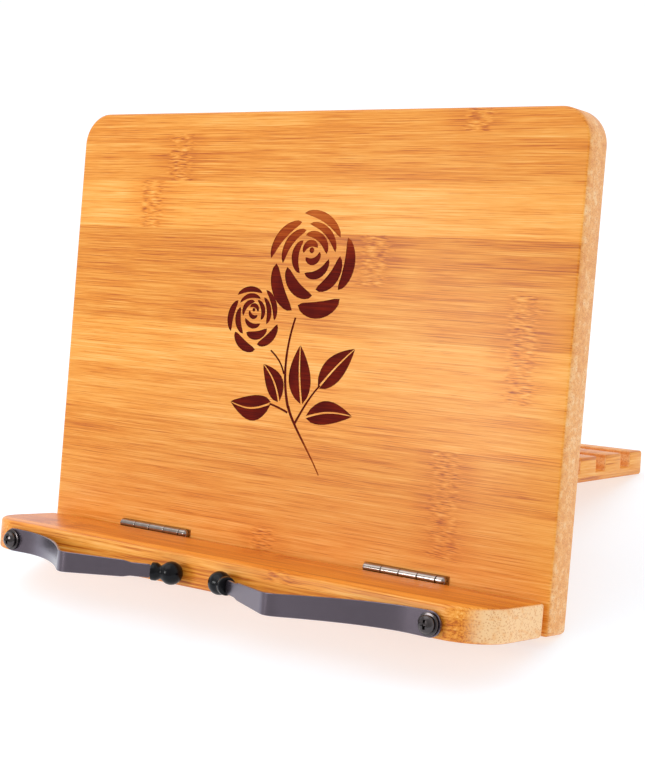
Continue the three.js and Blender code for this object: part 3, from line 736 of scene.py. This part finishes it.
# ------------------------------------------------------------------ screws
def screw(head_r, head_h, shank_r, shank_l, domed):
    """Screw along Y: head from y = 0 towards -Y, shank towards +Y. A cross recess if domed."""
    if domed:
        dome = [(head_r * math.sin(a), -head_h * (0.3 + 0.7 * math.cos(a)))
                for a in (math.radians(15 * i) for i in range(1, 7))]
        profile = [(0, -head_h)] + dome + [(head_r, -0.15), (head_r - 0.15, 0), (shank_r, 0)]
    else:
        profile = [(0, -head_h), (head_r - 0.15, -head_h), (head_r, -head_h + 0.12),
                   (head_r, -head_h * 0.6), (shank_r, 0)]
    pitch = 0.8
    threads = int((shank_l - shank_r - 0.5) / pitch)
    for i in range(threads):
        y = pitch / 2 + i * pitch
        profile += [(shank_r, y), (shank_r * 0.84, y + pitch / 2)]
    profile += [(shank_r, shank_l - shank_r), (0, shank_l)]
    obj = as_object(lathe(profile, along_y, steps=32))
    reach = head_r * (0.58 if domed else 0.62)
    depth = head_h * (0.6 if domed else 0.5)
    width = head_r * (0.17 if domed else 0.13)
    cut(obj, *[cross_bar(reach, width, head_h, depth, turned) for turned in (False, True)])
    return obj


def cross_bar(reach, half_width, head_h, depth, turned):
    """One arm pair of a cross recess, narrower at its floor."""
    rings = []
    for y, share in ((-head_h - 1, 1.0), (-head_h, 1.0), (-head_h + depth, 0.45)):
        a, b = reach * share, half_width * (0.6 + 0.4 * share)
        if turned:
            a, b = b, a
        rings.append([(-a, y, -b), (a, y, -b), (a, y, b), (-a, y, b)])
    return loft(rings)


def place_screw(name, body, look, size, where, turn=None, spot=(0, 0, 0)):
    obj = screw(*size)
    if turn:
        obj.data.transform(turn)
    obj.data.transform(Matrix.Translation(spot))
    place(obj, f"{name}_piece", body, look, where)


# ------------------------------------------------------------------ hinges
def hinge_leaf(hinge, near, far, knuckles):
    """Leaf plate hanging down from the axis at the origin, with its share of the knuckles."""
    length, barrel = hinge["length"], hinge["barrel"]
    step = length / hinge["knuckles"]
    half = length / 2
    plate = as_object(rounded_slab((-half, -hinge["drop"], half, -barrel - 0.3),
                                   (1.2, 1.2, 0.2, 0.2), near, far, 0.12, along_y, 6, 2))
    for i in knuckles:
        x0, x1 = -half + i * step + KNUCKLE_GAP, -half + (i + 1) * step - KNUCKLE_GAP
        web = rounded_slab((x0, -barrel - 1, x1, -0.4), (0.05,) * 4, near, far, 0.04, along_y, 1, 1)
        join(plate, cylinder(barrel, x0, x1, along_x, steps=40, edge=0.22), web)
    cut(plate, cylinder(hinge["pin"] + HOLE, -length, length, along_x, steps=24))
    for dx in screw_offsets(hinge):
        cut(plate, cylinder(LEAF_HOLE, near - 2, far + 2, along_y, (dx, -hinge["screw_drop"]), 24))
    return plate


def hinge_pin(hinge, head_side):
    """Pin along X through the origin, its domed head beyond the knuckles at one end."""
    start = hinge["length"] / 2 + 0.2
    end = start + hinge["head"]
    pin, barrel = hinge["pin"], hinge["barrel"]
    dome = [(barrel * math.cos(a), end - 1.5 + 1.5 * math.sin(a))
            for a in (math.radians(15 * i) for i in range(6))]
    profile = ([(0, -start), (pin - 0.15, -start), (pin, -start + 0.15), (pin, start),
                (barrel - 0.2, start), (barrel, start + 0.2)] + dome + [(0, end)])
    obj = as_object(lathe(profile, along_x, steps=40))
    return mirrored(obj, -head_side)


def front_hinges():
    near, far = KNUCKLE_GAP, KNUCKLE_GAP + FRONT_HINGE["leaf"]
    size = (SMALL_SCREW["head"], 0.6, SMALL_SCREW["shank"], SMALL_SCREW["length"], False)
    for label, side in SIDES:
        x = front_hinge_x(side)
        seat = BOARD_FRAME @ Matrix.Translation((x * MM, AXIS_Y * MM, AXIS_Z * MM))
        name = f"front_hinge_{label}"
        board_leaf = hinge_leaf(FRONT_HINGE, near, far, (0, 2))
        ledge_leaf = hinge_leaf(FRONT_HINGE, -far, -near, (1, 3))
        place(board_leaf, f"{name}_board_leaf_piece", "board_assembly", "nickel", seat)
        place(ledge_leaf, f"{name}_ledge_leaf_piece", "ledge_assembly", "nickel", seat)
        place(hinge_pin(FRONT_HINGE, 1), f"{name}_pin_piece", "board_assembly", "nickel", seat)
        for i, dx in enumerate(screw_offsets(FRONT_HINGE), 1):
            place_screw(f"{name}_board_screw_{i}", "board_assembly", "nickel", size, BOARD_FRAME,
                        spot=(x + dx, FRONT_Y - FIT * 0.6, FRONT_SCREW_Z))
            place_screw(f"{name}_ledge_screw_{i}", "ledge_assembly", "nickel", size, BOARD_FRAME,
                        HALF_TURN, (x + dx, LEDGE_REAR + FIT * 0.6, FRONT_SCREW_Z))


def rear_hinges():
    near = -REAR_HINGE["y"] + FIT
    far = near + REAR_HINGE["leaf"]
    size = (SMALL_SCREW["head"], 0.8, SMALL_SCREW["shank"], SMALL_SCREW["length"], False)
    for label, side in SIDES:
        x = side * REAR_HINGE["x"]
        name = f"rear_hinge_{label}"
        seat = BOARD_FRAME @ Matrix.Translation((x * MM, REAR_HINGE["y"] * MM, REAR_HINGE["z"] * MM))
        lying = HINGE_FRAME @ Matrix.Translation((x * MM, 0, 0))
        board_leaf = flip(hinge_leaf(REAR_HINGE, near, far, (0, 2, 4)), (0, 0, 1))
        plate_leaf = hinge_leaf(REAR_HINGE, -far, -near, (1, 3))
        plate_leaf.data.transform(Matrix.Rotation(math.pi / 2, 4, "X"))
        place(board_leaf, f"{name}_board_leaf_piece", "board_assembly", "nickel", seat)
        place(plate_leaf, f"{name}_plate_leaf_piece", "plate_assembly", "nickel", lying)
        place(hinge_pin(REAR_HINGE, side), f"{name}_pin_piece", "board_assembly", "nickel", seat)
        for i, dx in enumerate(screw_offsets(REAR_HINGE), 1):
            place_screw(f"{name}_board_screw_{i}", "board_assembly", "nickel", size, BOARD_FRAME,
                        HALF_TURN, (x + dx, REAR_SCREW_SEAT, REAR_SCREW_Z))
            place_screw(f"{name}_plate_screw_{i}", "plate_assembly", "nickel", size, HINGE_FRAME,
                        Matrix.Rotation(-math.pi / 2, 4, "X"),
                        (x + dx, REAR_HINGE["screw_drop"], PLATE_TOP + REAR_SCREW_SEAT))


# ------------------------------------------------------------------ spring clips
TIP_END = Vector((102.4, 5.4))     # centre of the tip's ball: inwards from the screw, outwards
BEND_START = Vector((54, 25))
STRAIGHT = Vector((63.2, 26.6))    # end of the outer bend, where the return stretch starts
BACKWARD = (TIP_END - STRAIGHT).normalized()


def cubic(a, b, c, d, steps):
    """Points of a cubic curve after its first."""
    return [cubic_point(a, b, c, d, i / steps) for i in range(1, steps + 1)]


def strip_path():
    """Plan curve of the strip's middle: inwards from the screw, outwards from the ledge."""
    out = CLIP["stand"] + CLIP["thick"] / 2
    v = Vector
    path = [v((-CLIP["height"] / 2 * math.cos(math.radians(a)), out)) for a in range(0, 91, 9)]
    path += [v((d, out)) for d in (2, 4, 6, 8)]
    path += cubic(v((8, out)), v((24, out)), v((42.5, 14.8)), BEND_START, 28)
    path += cubic(BEND_START, v((58.2, 28.7)), v((60.2, 28.3)), STRAIGHT, 16)
    end = TIP_END - BACKWARD * STRIP_END
    length = (end - STRAIGHT).length
    steps = 40
    path += [STRAIGHT + BACKWARD * length * i / steps for i in range(1, steps + 1)]
    return path


def strip_half_height(spot):
    """Half of the strip's height: round at the screw, tapering to a neck and a tongue at the tip."""
    full = CLIP["height"] / 2
    if spot.x < 0:
        return math.sqrt(max(full ** 2 - spot.x ** 2, 0.01))
    if spot.x > STRAIGHT.x and (TIP_END - spot).dot(BACKWARD) < TONGUE["start"]:
        return TONGUE["half_height"]
    neck_x = TIP_END.x - NECK["start"]
    taper = ((0, full), (STRAIGHT.x - 3, CLIP["bend_height"] / 2),
             (neck_x - NECK["before"], CLIP["end_height"] / 2),
             (neck_x + NECK["after"], CLIP["neck"] / 2), (TIP_END.x, CLIP["neck"] / 2))
    for (d0, h0), (d1, h1) in zip(taper, taper[1:]):
        if spot.x <= d1:
            return h0 + (h1 - h0) * (spot.x - d0) / (d1 - d0)
    return taper[-1][1]


def clip_strip():
    path = strip_path()
    half = CLIP["thick"] / 2
    edge = 0.22
    rings = []
    for i, spot in enumerate(path):
        way = path[min(i + 1, len(path) - 1)] - path[max(i - 1, 0)]
        side = Vector((-way.y, way.x)).normalized()
        high = strip_half_height(spot)
        e = min(edge, high * 0.5)
        section = ((-half, -high + e), (-half + e, -high), (half - e, -high), (half, -high + e),
                   (half, high - e), (half - e, high), (-half + e, high), (-half, high - e))
        rings.append([(spot.x + side.x * w, -(spot.y + side.y * w), h) for w, h in section])
    strip = as_object(loft(rings))
    cut(strip, cylinder(CLIP_HOLE, -8, 2, along_y, steps=24))
    return strip


def clip_tip():
    """Rubber tip turned about the end of the strip: collar, waist and ball."""
    collar, waist, ball = TIP["collar"], TIP["waist"], TIP["ball"]
    profile = [(0, -8.6), (collar - 0.5, -8.6), (collar - 0.12, -8.48), (collar, -8.1),
               (collar, -6.6), (collar - 0.14, -6.1), (waist + 0.5, -5.5), (waist + 0.14, -5.0),
               (waist, -4.5)]
    joint = math.acos(waist / ball)
    steps = 14
    for i in range(1, steps):
        a = -joint + (math.pi / 2 + joint) * i / steps
        profile.append((ball * math.cos(a), ball * math.sin(a)))
    profile.append((0, ball))
    tip = as_object(lathe(profile, along_x, steps=40))
    width, height = CLIP["thick"] / 2 + FIT, TONGUE["half_height"] + FIT
    cut(tip, prism([(-width, -height), (width, -height), (width, height), (-width, height)],
                   -12, -TONGUE["slot_end"], along_x))
    turn = Matrix.Rotation(-math.atan2(BACKWARD.y, BACKWARD.x), 4, "Z")
    tip.data.transform(Matrix.Translation((TIP_END.x, -TIP_END.y, 0)) @ turn)
    return tip


def washer(radius, low, high):
    edge = min(0.2, (high - low) * 0.35)
    ring = as_object(cylinder(radius, low, high, along_y, steps=40, edge=edge))
    cut(ring, cylinder(CLIP_HOLE, low - 1, high + 1, along_y, steps=24))
    return ring


def spring_clips():
    face = -CLIP["stand"] - CLIP["thick"] - FIT
    under = face - WASHER["thick"]
    size = (CLIP_SCREW["head"], CLIP_SCREW["height"], CLIP_SCREW["shank"], CLIP_SCREW["length"], True)
    for label, side in SIDES:
        seat = BOARD_FRAME @ Matrix.Translation((side * CLIP["x"] * MM, LEDGE_FRONT * MM,
                                                 CLIP["z"] * MM))
        body = f"clip_{label}"
        place(mirrored(clip_strip(), side), f"{body}_arm_piece", body, "strip", seat)
        place(mirrored(clip_tip(), side), f"{body}_tip_piece", body, "rubber", seat, smooth_angle=50)
        place(washer(WASHER["radius"], under, face), f"{body}_washer_piece", body, "black", seat)
        place(washer(WASHER["spacer"], -CLIP["stand"] + FIT, -FIT), f"{body}_spacer_piece",
              "ledge_assembly", "black", seat)
        place_screw(f"{body}_screw", "ledge_assembly", "black", size, seat, spot=(0, under - FIT, 0))


# ------------------------------------------------------------------ prop and its brackets
ARM_IN = PLATE["width"] / 2 + PROP["side_gap"]
ARM_OUT = ARM_IN + PROP["arm_width"]
EAR_IN = ARM_OUT + BRACKET["gap"]
EAR_OUT = EAR_IN + BRACKET["thick"]


def bracket_screw_x():
    return EAR_OUT + (BRACKET["base"] - BRACKET["thick"]) / 2


def bracket_screw_heights():
    return (PROP["z"] - BRACKET_SCREW["spread"], PROP["z"] + BRACKET_SCREW["spread"])


def bracket():
    """Right-hand angle bracket: a base on the board and an ear that carries the pivot."""
    z0, z1 = PROP["z"] - BRACKET["height"] / 2, PROP["z"] + BRACKET["height"] / 2
    obj = as_object(rounded_slab((EAR_IN, z0, EAR_IN + BRACKET["base"], z1), (0.3, 3, 3, 0.3),
                                 FIT, FIT + BRACKET["thick"], 0.2, along_y, 8, 2))
    radius = BRACKET["reach"] - PROP["y"]
    outline = [(FIT, z0), (PROP["y"] - 1.2, z0)]
    outline += arc(PROP["y"], PROP["z"], radius, -90, 90, 20)
    outline += [(PROP["y"] - 1.2, z1), (FIT, z1)]
    ear = as_object(prism(outline, EAR_IN, EAR_OUT, along_x))
    bevel(ear, 0.2, 2)
    tool = bmesh.new()
    tool.from_mesh(ear.data)
    bpy.data.objects.remove(ear)
    join(obj, tool)
    cut(obj, cylinder(PIVOT_HOLE, EAR_IN - 1, EAR_OUT + 1, along_x, (PROP["y"], PROP["z"]), 24))
    for z in bracket_screw_heights():
        cut(obj, cylinder(BRACKET_SCREW["hole"], 0, 3, along_y, (bracket_screw_x(), z), 24))
    return obj


def prop():
    """Two arms and a rod, turned about the pivot so that the rod lies in its groove."""
    lie = HINGE_FRAME @ Vector((0, (groove_places()[PROP["groove"] - 1] - PROP["forward"]) * MM,
                                (PLATE_TOP - PROP["sink"]) * MM))
    rod = BOARD_FRAME.inverted() @ lie / MM
    pivot = Vector((0, PROP["y"], PROP["z"]))
    reach = (rod - pivot).length
    turn = math.atan2(rod.z - pivot.z, rod.y - pivot.y)
    radius = PROP["arm_height"] / 2
    outline = arc(0, 0, radius, 90, 270, 20) + arc(reach, 0, radius, -90, 90, 20)
    seat = BOARD_FRAME @ Matrix.Translation(pivot * MM) @ Matrix.Rotation(turn, 4, "X")
    pivot_size = (PIVOT_SCREW["head"], PIVOT_SCREW["height"], PROP["pivot"],
                  PIVOT_SCREW["length"], True)
    bracket_size = (BRACKET_SCREW["head"], BRACKET_SCREW["height"], SMALL_SCREW["shank"],
                    BRACKET_SCREW["length"], True)
    for label, side in SIDES:
        arm = as_object(prism(outline, ARM_IN, ARM_OUT, along_x))
        bevel(arm, 0.8, 3)
        cut(arm, cylinder(PIVOT_HOLE, ARM_IN - 1, ARM_OUT + 1, along_x, (0, 0), 24),
            cylinder(PROP["rod"] + HOLE, ARM_IN - 1, ARM_OUT + 1, along_x, (reach, 0), 32))
        mirrored(arm, -side)
        place(arm, f"prop_arm_{label}_piece", "prop_assembly", "arm", seat)

        pivot_screw = screw(*pivot_size)
        pivot_screw.data.transform(Matrix.Translation((EAR_OUT + FIT, PROP["y"], PROP["z"]))
                                   @ Matrix.Rotation(math.pi / 2, 4, "Z"))
        place(mirrored(pivot_screw, -side), f"prop_pivot_screw_{label}_piece", "prop_assembly",
              "nickel")

        r = PROP["rod"]
        cap = as_object(lathe([(0, 0.4), (r + 1.2, 0.4), (r + 1.4, 0.55), (r + 1.4, 1.5),
                               (r + 1.25, 1.9), (r + 0.9, 2.3), (r + 0.2, 2.65), (r - 0.8, 2.9),
                               (0, 3)], along_x, (0, 0), 40))
        cap.data.transform(Matrix.Translation((ARM_OUT + CAP_GAP, rod.y, rod.z)))
        place(mirrored(cap, -side), f"prop_cap_{label}_piece", "prop_assembly", "nickel")

        place(mirrored(bracket(), -side), f"prop_bracket_{label}_piece", "board_assembly", "nickel")
        for i, z in enumerate(bracket_screw_heights(), 1):
            place_screw(f"bracket_screw_{label}_{i}", "board_assembly", "nickel", bracket_size,
                        BOARD_FRAME, HALF_TURN,
                        (side * bracket_screw_x(), FIT * 2 + BRACKET["thick"], z))
    bar = as_object(cylinder(PROP["rod"], -ARM_OUT - CAP_GAP, ARM_OUT + CAP_GAP, along_x,
                             (rod.y, rod.z), 40, 0.2))
    place(bar, "prop_rod_piece", "prop_assembly", "nickel")


# ------------------------------------------------------------------ floor, light, camera
FLOOR_GLOW = 0.62          # keeps the shadows on the floor faint
FLOOR_DARK = (0.42, 0.48, 0.55, 1)
FLOOR_LIGHT = (0.44, 0.50, 0.57, 1)
ROOM_FADE = (("From Min", -0.9), ("From Max", 0.3), ("To Min", 0.52), ("To Max", 1.0))
LAMPS = (("top_softbox", (-0.5, -0.3, 1.5), 1.2, 5.5),      # name, place, size, power
         ("key_softbox", (-0.5, -1.0, 0.55), 0.3, 3.2))
LAMP_TARGET = Vector((0, 0, 0.08))


def stage():
    """Pale floor, a room that is darker towards the front, and two soft lamps."""
    bm = bmesh.new()
    bmesh.ops.create_grid(bm, x_segments=8, y_segments=8, size=6)
    floor = as_object(bm, "floor")
    s = Shader("pale_floor")
    axes, _ = s.place_mm()
    faint = s.noise(s.vector(*axes), 0.004, 2.0)
    s.set(Base_Color=s.colour_ramp(faint, [(0.0, FLOOR_DARK), (1.0, FLOOR_LIGHT)]),
          Roughness=0.8, Specular_IOR_Level=0.1)
    s.set(Emission_Color=(1.0, 1.0, 1.0, 1), Emission_Strength=FLOOR_GLOW)
    floor.data.materials.append(s.material)

    world = bpy.data.worlds.new("studio")
    world.use_nodes = True
    nodes, links = world.node_tree.nodes, world.node_tree.links
    coords = nodes.new("ShaderNodeTexCoord")
    heading = nodes.new("ShaderNodeSeparateXYZ")
    links.new(coords.outputs["Generated"], heading.inputs[0])
    dim = nodes.new("ShaderNodeMapRange")
    links.new(heading.outputs["Y"], dim.inputs["Value"])
    for key, value in ROOM_FADE:
        dim.inputs[key].default_value = value
    seen = nodes.new("ShaderNodeLightPath")
    white = nodes.new("ShaderNodeMath")
    white.operation = "MAXIMUM"
    links.new(dim.outputs[0], white.inputs[0])
    links.new(seen.outputs["Is Camera Ray"], white.inputs[1])
    background = nodes["Background"]
    background.inputs["Color"].default_value = (1, 1, 1, 1)
    links.new(white.outputs[0], background.inputs["Strength"])
    bpy.context.scene.world = world
    bpy.context.scene.view_settings.view_transform = "Standard"

    for name, spot, size, power in LAMPS:
        light = bpy.data.lights.new(name, "AREA")
        light.shape = "SQUARE"
        light.size = size
        light.energy = power
        lamp = bpy.data.objects.new(name, light)
        bpy.context.scene.collection.objects.link(lamp)
        lamp.location = spot
        aim = LAMP_TARGET - Vector(spot)
        lamp.rotation_euler = aim.to_track_quat("-Z", "Y").to_euler()


CAMERA_SPOT = Vector((465.3, -600.2, 110.9))
CAMERA_RIGHT = Vector((0.79109, 0.60607, 0.08278))
CAMERA_FORWARD = Vector((-0.60595, 0.79496, -0.02952))
FOCAL_LENGTH = 78.73       # for a sensor 36 mm wide


def camera():
    """Low three-quarter view of the front, placed in the board's own frame."""
    up = CAMERA_RIGHT.cross(CAMERA_FORWARD)
    data = bpy.data.cameras.new("camera")
    data.sensor_width = 36
    data.sensor_fit = "AUTO"
    data.lens = FOCAL_LENGTH
    data.clip_end = 50
    obj = bpy.data.objects.new("camera", data)
    bpy.context.scene.collection.objects.link(obj)
    obj.matrix_world = BOARD_FRAME @ frame_matrix(CAMERA_RIGHT, up, -CAMERA_FORWARD, CAMERA_SPOT * MM)
    bpy.context.scene.camera = obj


camera()
stage()
back_board()
ledge()
support_plate()
front_hinges()
rear_hinges()
spring_clips()
prop()
